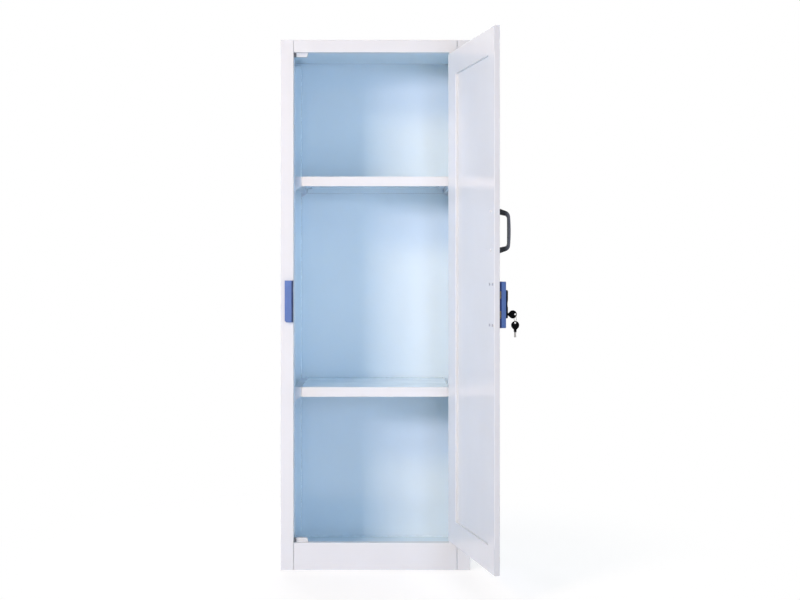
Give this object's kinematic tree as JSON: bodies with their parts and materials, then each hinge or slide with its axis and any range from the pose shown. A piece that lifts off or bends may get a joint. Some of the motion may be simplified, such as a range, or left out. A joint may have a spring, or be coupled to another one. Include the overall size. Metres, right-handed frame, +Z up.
{
  "type": "chemical storage cabinet",
  "caption": "Tall narrow polypropylene cabinet for acids and alkalis: pivot-hung door, shelves on slotted uprights, sump floor, and a surface lock with keys.",
  "frame": {"origin": "on the floor, under the middle of the cabinet, on the underside of the middle bearer", "axes": "+X to the cabinet's right as one faces it, +Y to its back, +Z up; the front of the frame is at -Y"},
  "size_m": [0.6974, 0.9228, 1.65],
  "materials": {
    "white_sheet": "satin polypropylene sheet",
    "blue_sheet": "satin polypropylene sheet",
    "bracket_grey": "moulded, satin",
    "lock_blue": "moulded, semi-gloss",
    "lock_navy": "moulded, semi-gloss",
    "black_plastic": "moulded, satin",
    "handle_grey": "moulded, fine grain",
    "bolt_brass": "brushed",
    "pivot_plastic": "turned, satin",
    "screw_plastic": "moulded, satin",
    "key_metal": "nickel plated"
  },
  "bodies": {
    "carcass": {"left_side_panel": "white_sheet", "right_side_panel": "white_sheet", "back_panel": "white_sheet", "top_panel": "white_sheet", "floor_panel": "blue_sheet", "floor_bearers": "white_sheet", "left_stile": "white_sheet", "right_stile": "white_sheet", "top_rail": "white_sheet", "sill_rail": "white_sheet", "left_liner": "blue_sheet", "right_liner": "blue_sheet", "back_liner": "blue_sheet", "ceiling_liner": "blue_sheet", "liner_weld_beads": "blue_sheet", "upright_front_left": "blue_sheet", "upright_front_right": "blue_sheet", "upright_rear_left": "blue_sheet", "upright_rear_right": "blue_sheet", "bracket_lower_left": "bracket_grey", "bracket_lower_right": "bracket_grey", "bracket_upper_left": "bracket_grey", "bracket_upper_right": "bracket_grey", "door_stop_top": "white_sheet", "door_stop_bottom": "white_sheet", "stop_pad_top": "black_plastic", "stop_pad_bottom": "black_plastic", "door_stop_screws": "screw_plastic", "lock_keeper": "lock_blue", "keeper_screws": "screw_plastic", "pivot_bush_top": "pivot_plastic", "pivot_bush_bottom": "pivot_plastic"},
    "door": {"door_skin": "white_sheet", "door_border_top": "white_sheet", "door_border_bottom": "white_sheet", "door_border_lock": "white_sheet", "door_border_hinge": "white_sheet", "pivot_pin_top": "pivot_plastic", "pivot_pin_bottom": "pivot_plastic", "pull_handle": "handle_grey", "handle_screws": "screw_plastic", "lock_base": "lock_navy", "lock_case": "lock_blue", "lock_face_plate": "black_plastic", "lock_screws": "screw_plastic", "lock_cylinder": "key_metal"},
    "upper_shelf": {"upper_shelf_board": "blue_sheet", "upper_shelf_front_lip": "white_sheet", "upper_shelf_rear_lip": "blue_sheet"},
    "lower_shelf": {"lower_shelf_board": "blue_sheet", "lower_shelf_front_lip": "white_sheet", "lower_shelf_rear_lip": "blue_sheet"},
    "lock_bolt": {"bolt_plate": "bolt_brass", "thumb_slide": "black_plastic"},
    "lock_plug": {"cylinder_plug": "key_metal", "key_blade": "key_metal", "key_bow": "black_plastic"},
    "key_ring": {"key_ring": "key_metal"},
    "spare_key": {"spare_key_blade": "key_metal", "spare_key_bow": "black_plastic"}
  },
  "joints": [
    {"name": "door_hinge", "type": "hinge", "parent": "carcass", "child": "door", "pos_m": [0.238, -0.216, 0.088], "axis": [0, 0, 1], "range_deg": [-101.5, 18.5]},
    {"name": "bolt_slide", "type": "slide", "parent": "door", "child": "lock_bolt", "axis": [0.1994, -0.9799, 0], "range_m": [0, 0.016]},
    {"name": "key_turn", "type": "hinge", "parent": "door", "child": "lock_plug", "pos_m": [0.33595, -0.65733, 0.809], "axis": [0.9799, 0.1994, 0], "range_deg": [0, 90]},
    {"name": "ring_swing", "type": "hinge", "parent": "lock_plug", "child": "key_ring", "pos_m": [0.39083, -0.64617, 0.809], "axis": [-0.1994, 0.9799, 0], "range_deg": [-25, 25]},
    {"name": "spare_key_swing", "type": "hinge", "parent": "key_ring", "child": "spare_key", "pos_m": [0.39083, -0.64617, 0.7858], "axis": [-0.1994, 0.9799, 0], "range_deg": [-40, 25]},
    {"name": "upper_shelf_lift", "type": "slide", "parent": "carcass", "child": "upper_shelf", "axis": [0, 0, 1], "range_m": [0, 0.05]},
    {"name": "lower_shelf_lift", "type": "slide", "parent": "carcass", "child": "lower_shelf", "axis": [0, 0, 1], "range_m": [0, 0.05]}
  ]
}
